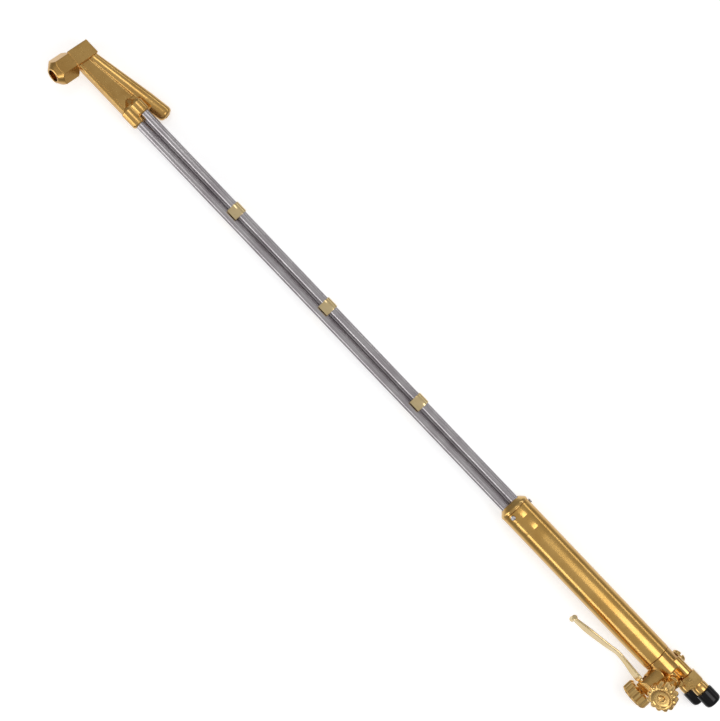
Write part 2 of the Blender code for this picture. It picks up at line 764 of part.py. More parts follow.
hinge = axle("lever_hinge", torch, (PIN_X, 0, PIN_Z), (0, 0, 0))
lever = piece("lever", strip(), LEVER_MAT, hinge)
end_x, end_z, end_half = LEVER_LINE[-1]
add(lever, tool("lever_roll", rod(LEVER_ROLL_R, -end_half, end_half, 16, 0.5), hinge, (end_x + 2.4 - PIN_X, 0, end_z - 0.4 - PIN_Z), ALONG_Y))
for sign in (-1, 1):
    cheek = [(8.0, -0.45), (8.0, -2.2), (2.6, -3.0)]
    cheek += [(3.4 * math.cos(math.radians(a)), 3.4 * math.sin(math.radians(a))) for a in range(-80, -281, -20)]
    cheek += [(3.4, 2.9)]
    name = "near" if sign > 0 else "far"
    low, high = sorted((sign * 2.85, sign * 4.65))
    add(lever, tool(f"lever_cheek_{name}", prism(cheek, low, high), hinge, (0, 0, 0), ALONG_Y_XZ))
cut(lever, tool("lever_eye", rod(PIN_R + GAP, -8, 8, 12), hinge, (0, 0, 0), ALONG_Y))
weld(lever)
piece("lever_pin", rod(PIN_R, -5.6, 5.6, 12, 0.3), STEEL, torch, (PIN_X, 0, PIN_Z), ALONG_Y)

# ---------------------------------------------------------------- rest attitude
torch.rotation_euler = (
    Matrix.Rotation(math.radians(PITCH_DEG), 4, "Y") @ Matrix.Rotation(math.radians(ROLL_DEG), 4, "X")
).to_euler()
bpy.context.view_layer.update()
graph = bpy.context.evaluated_depsgraph_get()
low, high = Vector((1e9,) * 3), Vector((-1e9,) * 3)
for obj in bpy.context.scene.objects:
    if obj.type != "MESH" or obj.hide_render:
        continue
    seen = obj.evaluated_get(graph)
    mesh = seen.to_mesh()
    for vertex in mesh.vertices:
        point = seen.matrix_world @ vertex.co
        for k in range(3):
            low[k] = min(low[k], point[k])
            high[k] = max(high[k], point[k])
    seen.to_mesh_clear()
torch.location = (-(low.x + high.x) / 2, -(low.y + high.y) / 2, -low.z)
bpy.context.view_layer.update()
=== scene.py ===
import json
import math

import bpy
import bmesh
from mathutils import Matrix, Vector, noise


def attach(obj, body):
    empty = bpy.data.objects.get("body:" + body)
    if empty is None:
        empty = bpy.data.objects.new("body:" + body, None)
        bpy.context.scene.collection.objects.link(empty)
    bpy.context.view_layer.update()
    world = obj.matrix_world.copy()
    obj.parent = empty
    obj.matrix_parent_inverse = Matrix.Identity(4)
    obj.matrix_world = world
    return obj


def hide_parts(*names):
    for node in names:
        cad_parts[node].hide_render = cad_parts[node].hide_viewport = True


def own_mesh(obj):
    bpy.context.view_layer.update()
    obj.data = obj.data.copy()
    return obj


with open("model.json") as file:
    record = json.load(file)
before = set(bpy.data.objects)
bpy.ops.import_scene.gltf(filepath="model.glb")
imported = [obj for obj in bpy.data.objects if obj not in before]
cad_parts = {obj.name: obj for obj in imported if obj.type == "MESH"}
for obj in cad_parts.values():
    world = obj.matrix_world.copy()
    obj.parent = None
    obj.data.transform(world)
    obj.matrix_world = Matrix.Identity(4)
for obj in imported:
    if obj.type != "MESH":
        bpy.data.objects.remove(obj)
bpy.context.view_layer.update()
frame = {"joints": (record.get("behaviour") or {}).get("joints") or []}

scene = bpy.context.scene
MM = 0.001
GAP = 0.3

# ------------------------------------------------------------------ the part's own numbers, in mm
ROLL_DEG, PITCH_DEG = 114.19, 0.33
TUBE_OD, TUBE_ID, TUBE_PITCH = 9.5, 7.4, 11.5
TUBE_FRONT_X, TUBE_REAR_X = 335.0, -417.0
TIP_X, TIP_TILT_DEG, BLOCK_AHEAD = 406.9, -5.0, 1.7
BLOCK_LONG, BLOCK_WIDE, BLOCK_TOP, BLOCK_BOTTOM = 17.2, 18.0, 11.2, -14.4
ARM_FRONT, ARM_REAR = (401.0, 6.4), (307.2, 21.4)
ARM_R_FRONT, ARM_R_REAR = 5.5, 8.1
SOCKET_R, SOCKET_FRONT_X, SOCKET_REAR_X = 7.2, 338.4, 323.6
LOWER_SOCKET_REAR_X = 318.2
NUT_AF, NUT_TOP, NUT_CONE, NUT_END = 25.4, -14.8, -31.4, -38.6
NUT_END_R, NUT_BORE_R, NUT_EXIT_R = 7.9, 10.4, 6.35
BOSS_R, BOSS_END = 10.0, -26.0
CLIP_X = (190.6, 60.4, -69.8)
CLIP_LONG, CLIP_THICK = 12.6, 0.95
BARREL_OD, BARREL_ID, BARREL_FRONT_X, BARREL_REAR_X = 31.75, 28.6, -211.9, -413.0
COLLAR_FRONT_X, COLLAR_RIM_R = -203.6, 16.3
SCREW_X, SCREW_ANGLES_DEG = -215.8, (68.0, -52.0, 188.0)
BODY_R, BODY_FRONT_X, BODY_REAR_X = 15.6, -413.3, -433.4
HOUSING_X, HOUSING_R, HOUSING_END = -426.4, 10.0, -23.0
CUTTING_VALVE_X = -429.0
VALVE_SPLAY_DEG = 32.0
OXYGEN_VALVE_X, FUEL_VALVE_X = -427.6, -440.4
VALVE_BOSS_R, VALVE_BOSS_END = 7.0, 24.0
WHEEL_R, WHEEL_IN, WHEEL_OUT, WHEEL_LOBES = 15.0, 32.8, 46.0, 12
INLET_Y, INLET_Z, INLET_X = 9.6, 7.2, -445.4
OXYGEN_SHIFT = 7.5
CAP_LONG, CAP_R = 17.0, 8.9
PIN_X, PIN_Z, PIN_R = -440.0, -28.5, 1.6
LEVER_THICK = 2.2
GUARD_IN, GUARD_FAR, GUARD_REACH = 5.2, 6.8, 31.7
LEVER_LINE = (
    (-435.2, -29.8, 4.7),
    (-416.2, -30.0, 4.7),
    (-415.2, -29.9, 6.7),
    (-407.0, -29.2, 6.4),
    (-396.0, -27.8, 5.0),
    (-388.0, -27.1, 4.5),
    (-381.0, -27.2, 4.7),
    (-372.0, -29.1, 5.4),
    (-358.0, -31.5, 6.4),
    (-344.0, -33.7, 6.6),
    (-330.0, -35.4, 4.2),
)
LEVER_ROLL_R = 3.0

# ------------------------------------------------------------------ where the torch lies
turn = Matrix.Rotation(math.radians(PITCH_DEG), 4, "Y") @ Matrix.Rotation(math.radians(ROLL_DEG), 4, "X")
joints = {joint["name"]: joint for joint in frame["joints"]}
pin_at = Vector(joints["lever_squeeze"]["pos_m"])
TORCH = Matrix.Translation(pin_at - turn.to_3x3() @ (Vector((PIN_X, 0, PIN_Z)) * MM)) @ turn


def at(x, y, z):
    return Matrix.Translation(Vector((x, y, z)) * MM)


SPLAY = math.radians(VALVE_SPLAY_DEG)
TIP = TORCH @ at(TIP_X, 0, 0) @ Matrix.Rotation(math.radians(TIP_TILT_DEG), 4, "Y")
OXYGEN = TORCH @ at(OXYGEN_VALVE_X, 0, 0) @ Matrix.Rotation(math.pi - SPLAY, 4, "X")
FUEL = TORCH @ at(FUEL_VALVE_X, 0, 0) @ Matrix.Rotation(math.pi + SPLAY, 4, "X")
CUTTING = TORCH @ at(CUTTING_VALVE_X, 0, 0)


# ------------------------------------------------------------------ materials
def new_material(name):
    material = bpy.data.materials.new(name)
    material.use_nodes = True
    tree = material.node_tree
    return material, tree, tree.nodes["Principled BSDF"]


def noise_on(tree, coords, scale, grain, detail=3.0, rough=0.55):
    """Noise in the piece's own axes. grain stretches it along one of them."""
    mapping = tree.nodes.new("ShaderNodeMapping")
    mapping.inputs["Scale"].default_value = grain
    tree.links.new(coords, mapping.inputs["Vector"])
    made = tree.nodes.new("ShaderNodeTexNoise")
    made.inputs["Scale"].default_value = scale
    made.inputs["Detail"].default_value = detail
    made.inputs["Roughness"].default_value = rough
    tree.links.new(mapping.outputs["Vector"], made.inputs["Vector"])
    return made.outputs["Fac"]


def span(tree, value, low, high, out_low, out_high):
    made = tree.nodes.new("ShaderNodeMapRange")
    made.clamp = True
    for name, number in (("From Min", low), ("From Max", high), ("To Min", out_low), ("To Max", out_high)):
        made.inputs[name].default_value = number
    tree.links.new(value, made.inputs["Value"])
    return made.outputs["Result"]


def blend_colour(tree, factor, a, b):
    mix = tree.nodes.new("ShaderNodeMix")
    mix.data_type = "RGBA"
    mix.blend_type = "MIX"
    tree.links.new(factor, mix.inputs["Factor"])
    for socket, value in (("A", a), ("B", b)):
        target = [s for s in mix.inputs if s.name == socket and s.type == "RGBA"][0]
        if isinstance(value, tuple):
            target.default_value = (*value, 1.0)
        else:
            tree.links.new(value, target)
    return [s for s in mix.outputs if s.type == "RGBA"][0]


def bump(tree, height, strength, distance, before=None):
    made = tree.nodes.new("ShaderNodeBump")
    made.inputs["Strength"].default_value = strength
    made.inputs["Distance"].default_value = distance
    tree.links.new(height, made.inputs["Height"])
    if before is not None:
        tree.links.new(before, made.inputs["Normal"])
    return made.outputs["Normal"]


def own_axes(tree):
    """Each piece keeps its own coordinates, in metres, on its points."""
    made = tree.nodes.new("ShaderNodeAttribute")
    made.attribute_name = "place"
    return made.outputs["Vector"]


def metal(name, clean, warm, rough, grain, grain_scale=1.0, depth=0.000012, wave=0.0, coat=0.0):
    """A polished metal: clean colour with warmer patches, fine grain in the roughness and the bump."""
    material, tree, shader = new_material(name)
    coords = own_axes(tree)
    patches = noise_on(tree, coords, 38.0, (1, 1, 1), 4.0)
    specks = noise_on(tree, coords, 420.0, (1, 1, 1), 2.0)
    lines = noise_on(tree, coords, grain_scale, grain, 3.0, 0.6)
    tone = blend_colour(tree, span(tree, patches, 0.42, 0.66, 0.0, 1.0), clean, warm)
    dim = tuple(c * 0.72 for c in warm)
    tone = blend_colour(tree, span(tree, specks, 0.60, 0.74, 0.0, 0.35), tone, dim)
    tree.links.new(tone, shader.inputs["Base Color"])
    shader.inputs["Metallic"].default_value = 1.0
    tree.links.new(span(tree, lines, 0.3, 0.7, rough[0], rough[1]), shader.inputs["Roughness"])
    normal = bump(tree, lines, 0.5, depth)
    if wave:
        normal = bump(tree, noise_on(tree, coords, 130.0, (1, 1, 1), 2.0), 0.6, wave, normal)
    tree.links.new(normal, shader.inputs["Normal"])
    if coat:
        shader.inputs["Coat Weight"].default_value = coat
        shader.inputs["Coat Roughness"].default_value = 0.08
    return material


ALONG, AROUND_X, AROUND_Z = (40, 3600, 3600), (5200, 90, 90), (90, 90, 5200)
FORGED = metal("forged_brass", (0.78, 0.475, 0.15), (0.66, 0.375, 0.105), (0.16, 0.28), (700, 700, 700), 1.0, 0.000003, 0.00003, 0.2)
BODY_BRASS = metal("body_brass", (0.74, 0.445, 0.14), (0.60, 0.34, 0.095), (0.12, 0.22), (700, 700, 700), 1.0, 0.000003, 0.00003, 0.2)
TURNED_X = metal("turned_brass_x", (0.84, 0.55, 0.20), (0.72, 0.43, 0.13), (0.12, 0.24), AROUND_X, 1.0, 0.000008, 0.0, 0.2)
TURNED_Z = metal("turned_brass_z", (0.82, 0.53, 0.19), (0.72, 0.42, 0.125), (0.12, 0.26), AROUND_Z, 1.0, 0.000008, 0.0, 0.2)
DRAWN = metal("drawn_brass", (0.80, 0.485, 0.145), (0.72, 0.415, 0.11), (0.18, 0.26), ALONG, 1.0, 0.000002, 0.0, 0.15)
PALE = metal("pale_brass", (0.88, 0.69, 0.38), (0.82, 0.60, 0.28), (0.14, 0.26), ALONG, 1.0, 0.000008, 0.00003, 0.2)
STEEL = metal("stainless", (0.60, 0.57, 0.58), (0.50, 0.46, 0.48), (0.16, 0.30), ALONG, 1.0, 0.000010)
STEEL_Z = metal("stainless_turned", (0.58, 0.56, 0.56), (0.48, 0.45, 0.46), (0.18, 0.32), AROUND_Z, 1.0, 0.000008)
SPRING_WIRE = metal("spring_wire", (0.58, 0.56, 0.56), (0.48, 0.45, 0.46), (0.18, 0.32), (900, 900, 900), 1.0, 0.000004)


def plastic(name, colour, other, rough, depth, gloss=0.5):
    material, tree, shader = new_material(name)
    coords = own_axes(tree)
    cloud = noise_on(tree, coords, 90.0, (1, 1, 1), 3.0)
    fine = noise_on(tree, coords, 2600.0, (1, 1, 1), 2.0)
    tree.links.new(blend_colour(tree, span(tree, cloud, 0.35, 0.7, 0.0, 1.0), colour, other), shader.inputs["Base Color"])
    tree.links.new(span(tree, cloud, 0.3, 0.7, rough[0], rough[1]), shader.inputs["Roughness"])
    tree.links.new(bump(tree, fine, 0.4, depth), shader.inputs["Normal"])
    shader.inputs["Specular IOR Level"].default_value = gloss
    return material


BLACK = plastic("black_vinyl", (0.0032, 0.0032, 0.0036), (0.006, 0.006, 0.0065), (0.11, 0.19), 0.000004, 0.3)
PACKING = plastic("packing", (0.84, 0.83, 0.79), (0.74, 0.72, 0.66), (0.45, 0.6), 0.00002)


# ------------------------------------------------------------------ mesh helpers, all in mm
def axis_matrix(direction):
    return Vector((0, 0, 1)).rotation_difference(Vector(direction).normalized()).to_matrix().to_4x4()


ALONG_X = axis_matrix((1, 0, 0))
ALONG_Y = axis_matrix((0, 1, 0))
ALONG_Y_XZ = Matrix(((1, 0, 0, 0), (0, 0, 1, 0), (0, 1, 0, 0), (0, 0, 0, 1)))
PROFILE_X = Matrix(((0, 0, 1, 0), (1, 0, 0, 0), (0, 1, 0, 0), (0, 0, 0, 1)))


def turned(profile, segments=96, phase=0.0):
    bm = bmesh.new()
    rings = []
    for radius, z in profile:
        if radius < 1e-6:
            rings.append([bm.verts.new((0, 0, z))])
            continue
        rings.append(
            [
                bm.verts.new((radius * math.cos(2 * math.pi * (i + phase) / segments), radius * math.sin(2 * math.pi * (i + phase) / segments), z))
                for i in range(segments)
            ]
        )
    for k in range(len(rings)):
        a, b = rings[k], rings[(k + 1) % len(rings)]
        if len(a) == 1 and len(b) == 1:
            continue
        for i in range(segments):
            j = (i + 1) % segments
            if len(a) == 1:
                bm.faces.new((a[0], b[j], b[i]))
            elif len(b) == 1:
                bm.faces.new((a[i], a[j], b[0]))
            else:
                bm.faces.new((a[i], a[j], b[j], b[i]))
    return settle(bm)


def settle(bm, matrix=None):
    if matrix is not None:
        bm.transform(matrix)
    bmesh.ops.recalc_face_normals(bm, faces=bm.faces)
    if bm.calc_volume(signed=True) < 0:
        bmesh.ops.reverse_faces(bm, faces=bm.faces)
    return bm


def soften(profile, radius, steps=3, skip=()):
    """Rounds the corners of a closed (radius, z) profile, apart from those on the axis."""
    out = []
    count = len(profile)
    for k, (r, z) in enumerate(profile):
        before, after = Vector(profile[k - 1]), Vector(profile[(k + 1) % count])
        here = Vector((r, z))
        a, b = before - here, after - here
        if r < 1e-6 or k in skip or a.length < 1e-6 or b.length < 1e-6 or abs(a.normalized().cross(b.normalized())) < 0.05:
            out.append((r, z))
            continue
        reach = min(radius, a.length * 0.45, b.length * 0.45)
        start, end = here + a.normalized() * reach, here + b.normalized() * reach
        for s in range(steps + 1):
            t = s / steps
            point = start * (1 - t) ** 2 + here * (2 * t * (1 - t)) + end * t**2
            out.append((max(point.x, 0.0), point.y))
    return out


def prism(outline, z0, z1, matrix=None):
    bm = bmesh.new()
    face = bm.faces.new([bm.verts.new((x, y, z0)) for x, y in outline])
    grown = bmesh.ops.extrude_face_region(bm, geom=[face])
    bmesh.ops.translate(bm, vec=(0, 0, z1 - z0), verts=[v for v in grown["geom"] if isinstance(v, bmesh.types.BMVert)])
    return settle(bm, matrix)


def block(x0, x1, y0, y1, z0, z1):
    return prism([(x0, y0), (x1, y0), (x1, y1), (x0, y1)], z0, z1)


def rod(radius, z0, z1, segments=48, bevel=0.0):
    if bevel:
        return turned(soften([(0, z0), (radius, z0), (radius, z1), (0, z1)], bevel), segments)
    return turned([(0, z0), (radius, z0), (radius, z1), (0, z1)], segments)


def moved(bm, matrix):
    bm.transform(matrix)
    return bm


def hexagon(across_flats, phase_deg=30.0):
    radius = across_flats / math.sqrt(3)
    return [(radius * math.cos(math.radians(60 * i + phase_deg)), radius * math.sin(math.radians(60 * i + phase_deg))) for i in range(6)]


def to_object(name, bm, place):
    bm.transform(Matrix.Scale(MM, 4))
    mesh = bpy.data.meshes.new(name)
    bm.to_mesh(mesh)
    bm.free()
    obj = bpy.data.objects.new(name, mesh)
    scene.collection.objects.link(obj)
    obj.matrix_world = place
    return obj


def build(name, bm, place, material, body, nodes, steps=(), voxel=0.0, relax=0, bevel=0.0, sharp=32.0):
    """One finished piece: Booleans, then a remesh that leaves forged fillets or a fine bevel, all applied."""
    obj = to_object(name, bm, place)
    tools = []
    for operation, other in steps:
        tool = to_object(f"{name}_tool", other, place)
        tools.append(tool)
        step = obj.modifiers.new("step", "BOOLEAN")
        step.operation, step.object, step.solver = operation, tool, "EXACT"
    if steps:
        weld = obj.modifiers.new("weld", "WELD")
        weld.merge_threshold = 0.000004
    if voxel:
        remesh = obj.modifiers.new("remesh", "REMESH")
        remesh.mode, remesh.voxel_size, remesh.adaptivity = "VOXEL", voxel * MM, 0.0
        if relax:
            smooth = obj.modifiers.new("relax", "SMOOTH")
            smooth.factor, smooth.iterations = 0.5, relax
    if bevel:
        edge = obj.modifiers.new("edge", "BEVEL")
        edge.width, edge.segments, edge.limit_method, edge.angle_limit = bevel * MM, 2, "ANGLE", math.radians(28)
        edge.use_clamp_overlap = True
    bpy.context.view_layer.update()
    graph = bpy.context.evaluated_depsgraph_get()
    made = bpy.data.meshes.new_from_object(obj.evaluated_get(graph))
    old = obj.data
    obj.modifiers.clear()
    obj.data = made
    bpy.data.meshes.remove(old)
    for tool in tools:
        mesh = tool.data
        bpy.data.objects.remove(tool, do_unlink=True)
        bpy.data.meshes.remove(mesh)
    made.name = name
    kept = [c for vertex in made.vertices for c in vertex.co]
    made.attributes.new("place", "FLOAT_VECTOR", "POINT").data.foreach_set("vector", kept)
    made.transform(obj.matrix_world)
    obj.matrix_world = Matrix.Identity(4)
    made.materials.clear()
    made.materials.append(material)
    made.shade_smooth()
    if not voxel:
        made.set_sharp_from_angle(angle=math.radians(sharp))
    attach(obj, body)
    if nodes:
        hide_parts(*nodes)
    return obj


spread = TUBE_PITCH / math.sqrt(3)
TUBES = {
    "cutting_oxygen_tube": (TUBE_PITCH / 2, spread / 2),
    "preheat_oxygen_tube": (-TUBE_PITCH / 2, spread / 2),
    "fuel_gas_tube": (0.0, -spread),
}
TUBE_HOLE_R = TUBE_OD / 2 + GAP

# ------------------------------------------------------------------ gas tubes
for name, (y, z) in TUBES.items():
    stations = [TUBE_REAR_X + (TUBE_FRONT_X - TUBE_REAR_X) * k / 24 for k in range(25)]
    outer = [(TUBE_OD / 2, x) for x in stations]
    bm = turned([(TUBE_ID / 2, TUBE_REAR_X)] + outer + [(TUBE_ID / 2, TUBE_FRONT_X)], 56)
    bm.transform(ALONG_X)
    build(f"{name}_look", bm, TORCH @ at(0, y, z), STEEL, "torch", [name])

# ------------------------------------------------------------------ head forging
lean = math.tan(math.radians(-TIP_TILT_DEG))
corners = [
    (side * BLOCK_LONG / 2 - z * lean, z)
    for side, z in ((-1, BLOCK_BOTTOM), (1, BLOCK_BOTTOM), (1, BLOCK_TOP), (-1, BLOCK_TOP))
]
for k in (0, 1):
    x = corners[k][0]
    corners[k] = (x, BLOCK_BOTTOM + (x + BLOCK_AHEAD) * lean)
TIP_LOCAL = at(TIP_X / MM * MM, 0, 0)
tip_in_torch = Matrix.Translation((TIP_X, 0, 0)) @ Matrix.Rotation(math.radians(TIP_TILT_DEG), 4, "Y")
front, rear = Vector((ARM_FRONT[0], 0, ARM_FRONT[1])), Vector((ARM_REAR[0], 0, ARM_REAR[1]))
arm_dir = (rear - front).normalized()
arm_long = (rear - front).length
ARM = Matrix.Translation(front) @ axis_matrix(arm_dir)
head_block = prism(corners, -BLOCK_WIDE / 2, BLOCK_WIDE / 2, Matrix.Translation((TIP_X + BLOCK_AHEAD, 0, 0)) @ ALONG_Y_XZ)
steps = [
    ("UNION", moved(turned([(0, BOSS_END), (BOSS_R - 1, BOSS_END), (BOSS_R, BOSS_END + 1), (BOSS_R, -15.2), (7.6, -13.2), (0, -13.2)], 72), tip_in_torch)),
    (
        "UNION",
        moved(
            turned(
                [
                    (0, 0),
                    (ARM_R_FRONT, 0),
                    (ARM_R_REAR, arm_long - 26),
                    (ARM_R_REAR, arm_long - 4.2),
                    (ARM_R_REAR - 0.5, arm_long - 2.4),
                    (ARM_R_REAR - 1.6, arm_long - 0.9),
                    (ARM_R_REAR - 3.4, arm_long),
                    (0, arm_long),
                ],
                72,
                0.5,
            ),
            ARM,
        ),
    ),
    ("UNION", prism([(402.5, -10.5), (402.5, 5.9), (330.0, 17.2), (330.0, 2.0), (340.0, -10.5)], -2.3, 2.3, ALONG_Y_XZ)),
    ("UNION", prism([(404.5, -12.1), (404.5, -8.6), (335.0, -8.6), (335.0, -12.1)], -4.0, 4.0, ALONG_Y_XZ)),
    ("UNION", prism([(344.0, 0.5), (344.0, 16.0), (320.5, 19.0), (324.5, 9.5), (324.5, 0.5)], -4.6, 4.6, ALONG_Y_XZ)),
    ("UNION", moved(turned([(0, 325.5), (8.6, 325.5), (8.6, 338.5), (3.5, 345.0), (0, 345.0)], 72), Matrix.Translation((0, 0, 0.4)) @ ALONG_X)),
]
for number, (name, (y, z)) in enumerate(TUBES.items()):
    end = LOWER_SOCKET_REAR_X if name == "fuel_gas_tube" else SOCKET_REAR_X
    profile = [
        (0, end),
        (SOCKET_R - 1.3, end),
        (SOCKET_R, end + 1.6),
        (SOCKET_R, SOCKET_FRONT_X - 2),
        (SOCKET_R - 2.0, SOCKET_FRONT_X + 1.0),
        (0, SOCKET_FRONT_X + 1.0),
    ]
    steps.append(("UNION", moved(turned(profile, 56, 0.13 + 0.24 * number), Matrix.Translation((0, y, z)) @ ALONG_X)))
for number, (name, (y, z)) in enumerate(TUBES.items()):
    bore = turned([(0, 310.0), (TUBE_HOLE_R, 310.0), (TUBE_HOLE_R, TUBE_FRONT_X + 0.4), (0, TUBE_FRONT_X + 0.4)], 48, 0.13 + 0.24 * number)
    steps.append(("DIFFERENCE", moved(bore, Matrix.Translation((0, y, z)) @ ALONG_X)))
steps.append(
    (
        "DIFFERENCE",
        moved(turned([(0, arm_long - 44), (2.0, arm_long - 44), (2.0, arm_long - 7), (3.6, arm_long - 7), (3.6, arm_long + 5), (0, arm_long + 5)], 48), ARM),
    )
)
steps.append(
    (
        "DIFFERENCE",
        moved(turned([(0, BOSS_END - 3), (9.2, BOSS_END - 3), (5.0, -19.0), (2.2, -17.0), (2.2, -5.0), (0, -5.0)], 56), tip_in_torch),
    )
)
build("head_forging", head_block, TORCH, FORGED, "torch", ["torch_head"], steps, voxel=0.42, relax=5)
plug = turned(
    soften([(0, arm_long - 6.6), (3.3, arm_long - 6.6), (3.3, arm_long + 0.3), (2.6, arm_long + 0.8), (0, arm_long + 0.8)], 0.25), 56
)
build("head_plug", plug, TORCH @ Matrix.Translation(front * MM) @ axis_matrix(arm_dir), TURNED_Z, "torch", ["head_passage_plug"])

# ------------------------------------------------------------------ tip nut
corner = NUT_AF / math.sqrt(3)
turning = turned(
    [
        (NUT_EXIT_R, NUT_END),
        (NUT_END_R, NUT_END),
        (NUT_END_R + 0.7, NUT_END + 0.45),
        (corner + 0.35, NUT_CONE - 0.6),
        (corner + 0.35, NUT_TOP - 2.2),
        (12.4, NUT_TOP),
        (NUT_BORE_R, NUT_TOP),
        (NUT_BORE_R, -31.6),
        (NUT_EXIT_R, -34.4),
    ],
    96,
)
build("tip_nut_look", prism(hexagon(NUT_AF, 0.0), NUT_END - 1, NUT_TOP + 1), TIP, FORGED, "tip_nut", ["tip_nut"], [("INTERSECT", turning)], voxel=0.34, relax=3)


# ------------------------------------------------------------------ clips
def clip_outline():
    inner, outer = [], []
    near = Vector(TUBES["cutting_oxygen_tube"])
    low = Vector(TUBES["fuel_gas_tube"])
    out_dir = Vector((math.cos(math.radians(-30)), math.sin(math.radians(-30))))
    for r, line in ((TUBE_HOLE_R, inner), (TUBE_HOLE_R + CLIP_THICK, outer)):
        line.append((near + out_dir * r).lerp(low + out_dir * r, 0.66))
        for k in range(25):
            a = math.radians(-30 + 120 * k / 24)
            line.append(near + Vector((math.cos(a), math.sin(a))) * r)
    mirrored_inner = [Vector((-p.x, p.y)) for p in inner]
    mirrored_outer = [Vector((-p.x, p.y)) for p in outer]
    return outer + mirrored_outer[::-1] + mirrored_inner + inner[::-1]


for name, x in zip(("tube_clip_front", "tube_clip_middle", "tube_clip_rear"), CLIP_X):
    bm = prism([(p.x, p.y) for p in clip_outline()], -CLIP_LONG / 2, CLIP_LONG / 2, PROFILE_X)
    build(f"{name}_look", bm, TORCH @ at(x, 0, 0), PALE, "torch", [name], bevel=0.25)

# ------------------------------------------------------------------ handle
collar = turned(
    soften(
        [
            (0, -223.5),
            (13.9, -223.5),
            (13.9, BARREL_FRONT_X + GAP),
            (COLLAR_RIM_R, BARREL_FRONT_X + GAP),
            (COLLAR_RIM_R, -209.8),
            (15.6, -208.4),
            (10.8, COLLAR_FRONT_X),
            (0, COLLAR_FRONT_X),
        ],
        0.35,
    ),
    120,
)
collar.transform(ALONG_X)
steps = []
for name, (y, z) in TUBES.items():
    steps.append(("DIFFERENCE", moved(rod(TUBE_HOLE_R, -230.0, -198.0, 48), Matrix.Translation((0, y, z)) @ ALONG_X)))
holes = []
for angle in SCREW_ANGLES_DEG:
    a = math.radians(angle)
    holes.append(Matrix.Translation((SCREW_X, 0, 0)) @ axis_matrix((0, math.cos(a), math.sin(a))))
steps += [("DIFFERENCE", moved(rod(1.6, 12.3, 20.0, 24), hole)) for hole in holes]
build("handle_collar", collar, TORCH, TURNED_X, "torch", ["handle_front_collar"], steps)

RINGS = (-222.4, -238.0)
half = BARREL_OD / 2
skin = [(half - 0.35, BARREL_REAR_X), (half, BARREL_REAR_X + 0.35)]
for k in range(1, 22):
    skin.append((half, BARREL_REAR_X + (BARREL_FRONT_X - 30 - BARREL_REAR_X) * k / 22))
for x in sorted(RINGS):
    skin += [(half, x - 0.5), (half - 0.09, x - 0.15), (half - 0.09, x + 0.15), (half, x + 0.5)]
skin += [(half, BARREL_FRONT_X - 0.35), (half - 0.35, BARREL_FRONT_X)]
barrel = turned([(BARREL_ID / 2, BARREL_REAR_X)] + skin + [(BARREL_ID / 2, BARREL_FRONT_X)], 144)
barrel.transform(ALONG_X)
build("handle_tube", barrel, TORCH, DRAWN, "torch", ["handle_barrel"], [("DIFFERENCE", moved(rod(1.6, 12.3, 20.0, 24), hole)) for hole in holes])
for number, hole in enumerate(holes, 1):
    screw = turned(soften([(0, 12.6), (1.3, 12.6), (1.3, 16.2), (2.5, 16.2), (2.5, 16.8), (1.8, 17.4), (0, 17.4)], 0.25), 40)
    where = TORCH @ at(SCREW_X, 0, 0) @ hole.to_3x3().to_4x4()
    build(
        f"collar_screw_{number}_look",
        screw,
        where,
        STEEL_Z,
        "torch",
        [f"collar_screw_{number}"],
        [("DIFFERENCE", block(-0.32, 0.32, -4, 4, 16.85, 19))],
    )

# ------------------------------------------------------------------ rear body forging
body = turned(
    [
        (0, BODY_REAR_X),
        (BODY_R - 1.6, BODY_REAR_X),
        (BODY_R - 0.5, BODY_REAR_X + 0.5),
        (BODY_R, BODY_REAR_X + 1.6),
        (BODY_R, BODY_FRONT_X),
        (13.9, BODY_FRONT_X),
        (13.9, -403.5),
        (0, -403.5),
    ],
    120,
)
body.transform(ALONG_X)
steps = [
    (
        "UNION",
        moved(turned([(0, -444.8), (5.0, -444.8), (7.0, -443.6), (7.6, -441.6), (7.6, -428.0), (0, -428.0)], 56), Matrix.Translation((0, 3.5, -4.0)) @ ALONG_X),
    )
]
INLETS = (("fuel", INLET_Y, INLET_X), ("oxygen", -INLET_Y, INLET_X + OXYGEN_SHIFT))
for side, y, end in INLETS:
    steps.append(("UNION", moved(turned([(0, end), (6.5, end), (6.5, -426.0), (0, -426.0)], 56, 0.5), Matrix.Translation((0, y, INLET_Z)) @ ALONG_X)))
steps.append(
    (
        "UNION",
        moved(
            turned([(0, HOUSING_END), (HOUSING_R - 0.9, HOUSING_END), (HOUSING_R, HOUSING_END + 1.1), (HOUSING_R, 0), (0, 0)], 80),
            Matrix.Translation((HOUSING_X, 0, 0)),
        ),
    )
)
oxygen_local = Matrix.Translation((OXYGEN_VALVE_X, 0, 0)) @ Matrix.Rotation(math.pi - SPLAY, 4, "X")
fuel_local = Matrix.Translation((FUEL_VALVE_X, 0, 0)) @ Matrix.Rotation(math.pi + SPLAY, 4, "X")
for local in (oxygen_local, fuel_local):
    boss = turned(
        [(0, 7.5), (VALVE_BOSS_R + 1.0, 7.5), (VALVE_BOSS_R + 1.0, 13), (VALVE_BOSS_R, 15.5), (VALVE_BOSS_R, VALVE_BOSS_END - 0.8), (VALVE_BOSS_R - 0.8, VALVE_BOSS_END), (0, VALVE_BOSS_END)],
        64,
        0.5,
    )
    steps.append(("UNION", moved(boss, local)))


